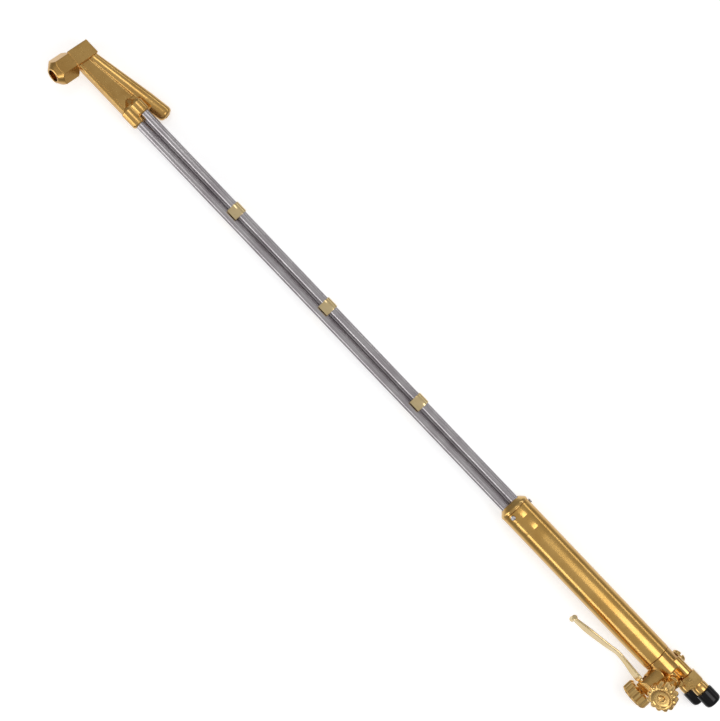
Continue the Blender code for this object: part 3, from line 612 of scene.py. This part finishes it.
def guard(side, outer):
    count = 24
    reach = math.acos(GUARD_IN / HOUSING_R)
    outline = []
    for k in range(count + 1):
        a = math.pi / 2 - reach + 2 * reach * k / count
        outline.append((HOUSING_R * math.cos(a) + HOUSING_X, side * min(HOUSING_R * math.sin(a), outer)))
    bm = prism(outline, -36.0, -20.0)
    down = Vector((0, side * math.sin(SPLAY), -math.cos(SPLAY)))
    bmesh.ops.bisect_plane(bm, geom=list(bm.verts) + list(bm.edges) + list(bm.faces), plane_co=down * GUARD_REACH, plane_no=down, clear_outer=True)
    bmesh.ops.holes_fill(bm, edges=[e for e in bm.edges if e.is_boundary], sides=0)
    return settle(bm)


steps.append(("UNION", guard(1, HOUSING_R - 0.02)))
steps.append(("UNION", guard(-1, GUARD_FAR)))
LUG_R = 3.3
arc = [(PIN_X + LUG_R * math.cos(math.radians(180 + 7.5 * k)), PIN_Z + LUG_R * math.sin(math.radians(180 + 7.5 * k))) for k in range(25)]
arc = [(PIN_X - 4.6, -9.0)] + arc + [(PIN_X + 4.6, -9.0)]
steps.append(("UNION", prism(arc, -2.5, 2.5, ALONG_Y_XZ)))
for name, (y, z) in TUBES.items():
    steps.append(("DIFFERENCE", moved(rod(TUBE_HOLE_R, TUBE_REAR_X - 0.4, -398.0, 32), Matrix.Translation((0, y, z)) @ ALONG_X)))
cutting_local = Matrix.Translation((CUTTING_VALVE_X, 0, 0))
steps.append(("DIFFERENCE", moved(turned([(0, -26), (4.9, -26), (4.9, -17), (3.4, -17), (3.4, -5), (5.6, -5), (5.6, 20), (0, 20)], 48), cutting_local)))
steps.append(("DIFFERENCE", moved(rod(8.8, 14.6, 22.0, 64), cutting_local)))
for local in (oxygen_local, fuel_local):
    steps.append(("DIFFERENCE", moved(turned([(0, 11.4), (2.6, 11.4), (2.6, 15.0), (4.2, 15.0), (4.2, 27), (0, 27)], 40), local)))
for side, y, end in INLETS:
    steps.append(("DIFFERENCE", moved(rod(4.6, end - 4, end + 8.5, 40), Matrix.Translation((0, y, INLET_Z)) @ ALONG_X)))
steps.append(("DIFFERENCE", moved(rod(PIN_R + GAP, -8, 8, 32), Matrix.Translation((PIN_X, 0, PIN_Z)) @ ALONG_Y)))
build("rear_forging", body, TORCH, BODY_BRASS, "torch", ["rear_body"], steps, voxel=0.36, relax=4)

# ------------------------------------------------------------------ cutting valve
cap = turned(soften([(0, 9.6), (5.3, 9.6), (5.3, 14.9), (8.2, 14.9), (8.2, 16.0), (7.6, 16.4), (7.6, 18.9), (6.8, 19.8), (0, 19.8)], 0.4), 96)
build("valve_cap", cap, CUTTING, TURNED_Z, "torch", ["cutting_valve_cap"], [("DIFFERENCE", block(-1.2, 1.2, -12, 12, 17.2, 24))], bevel=0.15)
seat_ring = turned([(3.0, -4.7), (5.3, -4.7), (5.3, -2.0), (3.8, -2.0), (3.0, -2.6)], 48)
build("valve_seat", seat_ring, CUTTING, TURNED_Z, "torch", ["cutting_valve_seat"])
stem = turned([(0, -28.4), (1.7, -28.4), (2.2, -27.9), (2.2, -2.6), (3.2, -1.7), (4.5, -1.7), (4.5, 1.0), (2.1, 1.0), (2.1, 4.6), (0, 4.6)], 40)
build("valve_stem", stem, CUTTING, STEEL_Z, "cutting_stem", ["cutting_valve_stem"])
gland = prism(hexagon(9.6, 0.0), -25.9, HOUSING_END - GAP)
steps = [
    ("INTERSECT", turned([(0, -25.9), (4.7, -25.9), (5.7, -25.2), (5.7, -23.0), (0, -23.0)], 64)),
    ("UNION", rod(4.6, -24.6, -17.4, 40)),
    ("DIFFERENCE", rod(2.5, -30, -10, 32)),
]
build("valve_gland", gland, CUTTING, TURNED_Z, "torch", ["cutting_valve_gland"], steps)


# ------------------------------------------------------------------ needle valves
def lobed(profile, lobes, depth, rim_from, per_lobe=16):
    """A turned profile whose rim dips in smooth hollows between the lobes."""
    segments = lobes * per_lobe
    bm = turned(profile, segments)
    for vertex in bm.verts:
        radius = math.hypot(vertex.co.x, vertex.co.y)
        if radius < rim_from:
            continue
        turn_ = math.atan2(vertex.co.y, vertex.co.x) * lobes
        share = ((1 - math.cos(turn_)) / 2) ** 1.6
        fade = min(1.0, (radius - rim_from) / 1.6)
        scale = (radius - depth * share * fade) / radius
        vertex.co.x *= scale
        vertex.co.y *= scale
    return bm


for side, place in (("oxygen", OXYGEN), ("fuel", FUEL)):
    steps = [
        ("INTERSECT", turned([(0, VALVE_BOSS_END + GAP - 0.01), (6.0, VALVE_BOSS_END + GAP - 0.01), (6.8, VALVE_BOSS_END + GAP + 0.8), (6.8, 28.0), (6.0, 28.85), (0, 28.85)], 64)),
        ("UNION", turned([(0, 21.4), (3.9, 21.4), (3.9, 25), (5.3, 25), (5.3, 29.2), (4.9, 29.9), (4.4, 30.3), (0, 30.3)], 56)),
        ("DIFFERENCE", rod(2.5, 18, 34, 40)),
    ]
    build(f"{side}_gland_nut", prism(hexagon(11.6), VALVE_BOSS_END + GAP, 28.8), place, TURNED_Z, "torch", [f"{side}_packing_nut"], steps)
    ring = turned([(2.5, 19.4), (3.9, 19.4), (3.9, 21.1), (2.5, 21.1)], 40)
    build(f"{side}_packing_ring", ring, place, PACKING, "torch", [f"{side}_stem_packing"])
    needle = turned(
        [(0, 11.8), (0.4, 11.8), (2.2, 14.2), (2.2, 15.3), (3.8, 15.3), (3.8, 17.0), (2.2, 17.0), (2.2, 42.9), (1.25, 42.9), (1.25, 37.5), (0, 37.5)], 40
    )
    build(f"{side}_needle", needle, place, STEEL_Z, f"{side}_needle", [f"{side}_needle_stem"])
    wheel = lobed(
        soften(
            [
                (2.5, 31.0),
                (5.8, 31.0),
                (6.4, WHEEL_IN + 0.4),
                (12.4, WHEEL_IN),
                (WHEEL_R, WHEEL_IN + 1.8),
                (WHEEL_R, WHEEL_OUT - 2.0),
                (12.6, WHEEL_OUT - 0.3),
                (9.6, WHEEL_OUT - 0.3),
                (8.6, WHEEL_OUT - 1.5),
                (5.0, WHEEL_OUT - 1.5),
                (2.5, WHEEL_OUT - 1.5),
            ],
            0.8,
            4,
        ),
        WHEEL_LOBES,
        1.9,
        11.6,
    )
    build(f"{side}_wheel_look", wheel, place, TURNED_Z, f"{side}_wheel", [f"{side}_handwheel"], sharp=50)
    head = turned(
        soften(
            [(0, WHEEL_OUT - 6.8), (0.95, WHEEL_OUT - 6.8), (0.95, WHEEL_OUT - 1.2), (3.4, WHEEL_OUT - 1.2), (3.4, WHEEL_OUT - 0.4), (2.6, WHEEL_OUT + 0.2), (0, WHEEL_OUT + 0.2)],
            0.3,
        ),
        48,
    )
    slot_cut = block(-0.45, 0.45, -6, 6, WHEEL_OUT - 0.45, WHEEL_OUT + 2)
    build(f"{side}_wheel_screw_look", head, place, TURNED_Z, f"{side}_wheel", [f"{side}_wheel_screw"], [("DIFFERENCE", slot_cut)])


# ------------------------------------------------------------------ inlets
def threaded(z0, z1, radius, pitch, depth, inner, segments=64, per_turn=8):
    """A helical thread as one closed solid, fading out at both ends."""
    count = int(round((z1 - z0) / pitch * per_turn))
    bm = bmesh.new()
    rings = []
    for k in range(count + 1):
        z = z0 + (z1 - z0) * k / count
        ring = []
        for i in range(segments):
            share = ((z - z0) / pitch - i / segments) % 1.0
            dip = abs(share - 0.5) * 2
            fade = min(1.0, (z - z0) / pitch, (z1 - z) / (0.6 * pitch))
            r = radius - depth * max(0.0, min(1.0, (1 - dip) * 1.35 - 0.15)) * max(0.0, fade)
            a = 2 * math.pi * i / segments
            ring.append(bm.verts.new((r * math.cos(a), r * math.sin(a), z)))
        rings.append(ring)
    for a, b in zip(rings, rings[1:]):
        for i in range(segments):
            j = (i + 1) % segments
            bm.faces.new((a[i], a[j], b[j], b[i]))
    for z, ring in ((z0, rings[0]), (z1, rings[-1])):
        hub = [bm.verts.new((inner * math.cos(2 * math.pi * i / segments), inner * math.sin(2 * math.pi * i / segments), z)) for i in range(segments)]
        for i in range(segments):
            j = (i + 1) % segments
            bm.faces.new((ring[i], hub[i], hub[j], ring[j]))
        ring[:] = hub
    for i in range(segments):
        j = (i + 1) % segments
        bm.faces.new((rings[0][i], rings[-1][i], rings[-1][j], rings[0][j]))
    return settle(bm)


for side, y, end in INLETS:
    where = TORCH @ at(end, y, INLET_Z)
    hexed = prism(hexagon(16.0, 0.0), -13.8, -GAP, ALONG_X)
    round_ends = moved(
        turned([(0, -13.8), (8.2, -13.8), (9.3, -13.1), (9.3, -1.0), (8.2, -GAP), (0, -GAP)], 96),
        ALONG_X,
    )
    shank = turned(
        [(0, 7.6), (4.2, 7.6), (4.2, -1.5), (7.0, -1.5), (7.6, -12.0), (7.6, -14.6), (7.25, -14.9), (7.25, -15.5), (7.6, -15.8), (7.7, -16.2), (7.7, -22.2), (7.3, -22.6), (6.0, -22.6), (6.0, -24.0), (0, -24.0)][::-1],
        80,
    )
    bore = turned([(0, -40), (5.4, -40), (3.0, -33.5), (3.0, 12), (0, 12)], 48)
    build(
        f"{side}_inlet_look",
        hexed,
        where,
        TURNED_X,
        "torch",
        [f"{side}_inlet_fitting"],
        [("INTERSECT", round_ends), ("UNION", moved(shank, ALONG_X)), ("DIFFERENCE", moved(bore, ALONG_X))],
    )
    thread = threaded(-37.4, -22.7, 6.95, 1.41, 0.75, 5.45)
    thread.transform(ALONG_X)
    build(f"{side}_inlet_thread", thread, where, TURNED_X, "torch", [], sharp=60)
    cover = turned(
        soften(
            [
                (0, 0),
                (4.4, 0),
                (6.9, 0.7),
                (8.3, 2.2),
                (CAP_R, 4.4),
                (CAP_R, CAP_LONG - 0.4),
                (CAP_R - 0.4, CAP_LONG),
                (7.3, CAP_LONG),
                (7.3, 2.0),
                (0, 2.0),
            ],
            1.0,
            5,
        ),
        112,
    )
    cover.transform(ALONG_X)
    build(f"{side}_cap_look", cover, TORCH @ at(end - 40.0, y, INLET_Z), BLACK, f"{side}_cap", [f"{side}_inlet_cap"], sharp=60)


# ------------------------------------------------------------------ lever
def spline(points, per_span):
    """Catmull-Rom through the points, so that the pressed strip bends smoothly."""
    out = []
    for k in range(len(points) - 1):
        p0 = Vector(points[max(k - 1, 0)])
        p1, p2 = Vector(points[k]), Vector(points[k + 1])
        p3 = Vector(points[min(k + 2, len(points) - 1)])
        for s in range(per_span):
            t = s / per_span
            out.append(0.5 * (2 * p1 + (p2 - p0) * t + (2 * p0 - 5 * p1 + 4 * p2 - p3) * t * t + (3 * p1 - p0 - 3 * p2 + p3) * t**3))
    out.append(Vector(points[-1]))
    return out


def strip():
    bm = bmesh.new()
    line = spline(LEVER_LINE, 8)
    rings = []
    half_thick = LEVER_THICK / 2
    edge = 0.85
    for i, here in enumerate(line):
        x, z, half = here
        if x < -415.9:
            half = 4.7
        a, b = line[max(i - 1, 0)], line[min(i + 1, len(line) - 1)]
        along = Vector((b[0] - a[0], b[1] - a[1])).normalized()
        up = Vector((-along.y, along.x))
        section = []
        for cy, cz, start in ((half - edge, half_thick - edge, 0), (-half + edge, half_thick - edge, 90), (-half + edge, -half_thick + edge, 180), (half - edge, -half_thick + edge, 270)):
            for s in range(6):
                ang = math.radians(start + 18 * s)
                section.append((cy + edge * math.cos(ang), cz + edge * math.sin(ang)))
        rings.append([bm.verts.new((x + up.x * sz - PIN_X, sy, z + up.y * sz - PIN_Z)) for sy, sz in section])
    count = len(rings[0])
    for a, b in zip(rings, rings[1:]):
        for j in range(count):
            n = (j + 1) % count
            bm.faces.new((a[j], a[n], b[n], b[j]))
    bm.faces.new(rings[0][::-1])
    bm.faces.new(rings[-1])
    return settle(bm)


end_x, end_z, end_half = LEVER_LINE[-1]
steps = [
    (
        "UNION",
        moved(
            turned(soften([(0, -end_half), (LEVER_ROLL_R, -end_half), (LEVER_ROLL_R, end_half), (0, end_half)], 0.7), 56, 0.5),
            Matrix.Translation((end_x + 2.4 - PIN_X, 0, end_z - 0.4 - PIN_Z)) @ ALONG_Y,
        ),
    )
]
for sign in (-1, 1):
    cheek = [(8.0, -0.45), (8.0, -2.2), (2.6, -3.0)]
    cheek += [(3.4 * math.cos(math.radians(a)), 3.4 * math.sin(math.radians(a))) for a in range(-80, -281, -10)]
    cheek += [(3.4, 2.9)]
    low, high = sorted((sign * 2.85, sign * 4.65))
    steps.append(("UNION", prism(cheek, low, high, ALONG_Y_XZ)))
steps.append(("DIFFERENCE", moved(rod(PIN_R + GAP, -8, 8, 32), ALONG_Y)))
build("squeeze_lever", strip(), TORCH @ at(PIN_X, 0, PIN_Z), PALE, "lever", ["lever"], steps, voxel=0.28, relax=2)
build("hinge_pin", moved(rod(PIN_R, -5.6, 5.6, 40, 0.4), ALONG_Y), TORCH @ at(PIN_X, 0, PIN_Z), STEEL, "torch", ["lever_pin"])


# ------------------------------------------------------------------ cutting valve spring
def coil(mean_r, wire_r, z0, z1, turns, per_turn, sides):
    """A closed tube that follows a helix, with half a turn flattened at each end."""
    bm = bmesh.new()
    rings = []
    count = int(turns * per_turn)
    low, high = z0 + wire_r, z1 - wire_r
    for k in range(count + 1):
        a = 2 * math.pi * k / per_turn
        share = min(max((k / per_turn - 0.5) / (turns - 1.0), 0.0), 1.0)
        centre = Vector((mean_r * math.cos(a), mean_r * math.sin(a), low + (high - low) * share))
        outward = Vector((math.cos(a), math.sin(a), 0))
        ring = []
        for j in range(sides):
            b = 2 * math.pi * j / sides
            ring.append(bm.verts.new(centre + outward * (wire_r * math.cos(b)) + Vector((0, 0, wire_r * math.sin(b)))))
        rings.append(ring)
    for a, b in zip(rings, rings[1:]):
        for j in range(sides):
            n = (j + 1) % sides
            bm.faces.new((a[j], a[n], b[n], b[j]))
    bm.faces.new(rings[0][::-1])
    bm.faces.new(rings[-1])
    return settle(bm)


SPRING_LOW, SPRING_HIGH = 1.3, 9.3
spring = build("valve_spring", coil(3.7, 0.5, SPRING_LOW, SPRING_HIGH, 4.5, 30, 12), CUTTING, SPRING_WIRE, "torch", ["cutting_valve_spring"], sharp=60)
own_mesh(spring)

# ------------------------------------------------------------------ floor, light, camera
floor_material, tree, shader = new_material("pale_floor")
coords = tree.nodes.new("ShaderNodeTexCoord").outputs["Object"]
tree.links.new(blend_colour(tree, noise_on(tree, coords, 3.0, (1, 1, 1), 2.0), (0.90, 0.90, 0.90), (0.88, 0.88, 0.885)), shader.inputs["Base Color"])
shader.inputs["Roughness"].default_value = 0.75
shader.inputs["Specular IOR Level"].default_value = 0.15
shader.inputs["Emission Color"].default_value = (1.0, 1.0, 1.0, 1.0)
shader.inputs["Emission Strength"].default_value = 0.52
floor = bmesh.new()
bmesh.ops.create_grid(floor, x_segments=8, y_segments=8, size=5.0)
floor_mesh = bpy.data.meshes.new("floor")
floor.to_mesh(floor_mesh)
floor.free()
floor_object = bpy.data.objects.new("floor", floor_mesh)
floor_object.location = (0, 0, -0.0002)
floor_mesh.materials.append(floor_material)
scene.collection.objects.link(floor_object)
floor_object.visible_glossy = False

world = bpy.data.worlds.new("studio")
world.use_nodes = True
tree = world.node_tree
apart = tree.nodes.new("ShaderNodeSeparateXYZ")
tree.links.new(tree.nodes.new("ShaderNodeTexCoord").outputs["Generated"], apart.inputs["Vector"])
ramp = tree.nodes.new("ShaderNodeValToRGB")
stops = ((0.0, 0.92), (0.22, 0.84), (0.34, 0.34), (0.46, 0.24), (0.62, 0.28), (0.80, 0.42), (1.0, 0.50))
while len(ramp.color_ramp.elements) < len(stops):
    ramp.color_ramp.elements.new(0.5)
for element, (position, bright) in zip(ramp.color_ramp.elements, stops):
    element.position = position
for element, (position, bright) in zip(ramp.color_ramp.elements, stops):
    element.color = (bright, bright, bright, 1.0)
tree.links.new(span(tree, apart.outputs["Z"], -1.0, 1.0, 0.0, 1.0), ramp.inputs["Fac"])
tree.links.new(ramp.outputs["Color"], tree.nodes["Background"].inputs["Color"])
tree.nodes["Background"].inputs["Strength"].default_value = 1.0
scene.world = world


def panel(name, where, aim, across, along, glow, colour=(1, 1, 1)):
    """A soft rectangular light. glow is how bright its face looks."""
    light = bpy.data.lights.new(name, "AREA")
    light.shape = "RECTANGLE"
    light.size, light.size_y = along, across
    light.energy = glow * math.pi * across * along
    light.color = colour
    obj = bpy.data.objects.new(name, light)
    scene.collection.objects.link(obj)
    direction = (Vector(aim) - Vector(where)).normalized()
    back = -direction
    side = Vector((1, 0, 0))
    side = (side - back * side.dot(back)).normalized()
    up = back.cross(side)
    obj.matrix_world = Matrix.Translation(where) @ Matrix((side, up, back)).transposed().to_4x4()
    obj.visible_camera = False
    return obj


panel("overhead", (-0.86, -0.42, 1.25), (-0.45, 0.0, 0.0), 0.85, 0.75, 2.2)
panel("long_strip", (0.44, 1.36, 0.66), (0.44, 0.0, 0.02), 0.34, 2.1, 2.0)
panel("head_side", (0.78, 1.0, 0.0), (0.40, 0.0, 0.02), 0.8, 0.6, 1.5)
panel("head_panel", (0.75, -0.35, 1.3), (0.4, 0.0, 0.0), 0.5, 0.5, 1.6)
panel("back_strip", (0.0, -1.5, 0.35), (0.0, 0.0, 0.02), 0.22, 3.0, 1.4)

S, D = 0.9875, 2.48
angle = math.radians(46.36)
origin = TORCH @ Vector((0, 0, 0))
head_dir = (TORCH.to_3x3() @ Vector((1, 0, 0)))
head_dir.z = 0
head_dir.normalize()
side_dir = Vector((-head_dir.y, head_dir.x, 0))
right = -math.cos(angle) * head_dir - math.sin(angle) * side_dir
upward = math.sin(angle) * head_dir - math.cos(angle) * side_dir
centre = origin - side_dir * (-9.8 * S * MM)
camera_data = bpy.data.cameras.new("camera")
camera = bpy.data.objects.new("camera", camera_data)
scene.collection.objects.link(camera)
camera.matrix_world = Matrix.Translation((centre.x, centre.y, origin.z + D)) @ Matrix((right, upward, Vector((0, 0, 1)))).transposed().to_4x4()
camera_data.sensor_width, camera_data.sensor_fit = 36.0, "HORIZONTAL"
camera_data.lens = 36.0 * D / (720 * S * MM)
camera_data.clip_start, camera_data.clip_end = 0.05, 50.0
scene.camera = camera
scene.view_settings.view_transform = "Standard"
scene.view_settings.look = "None"
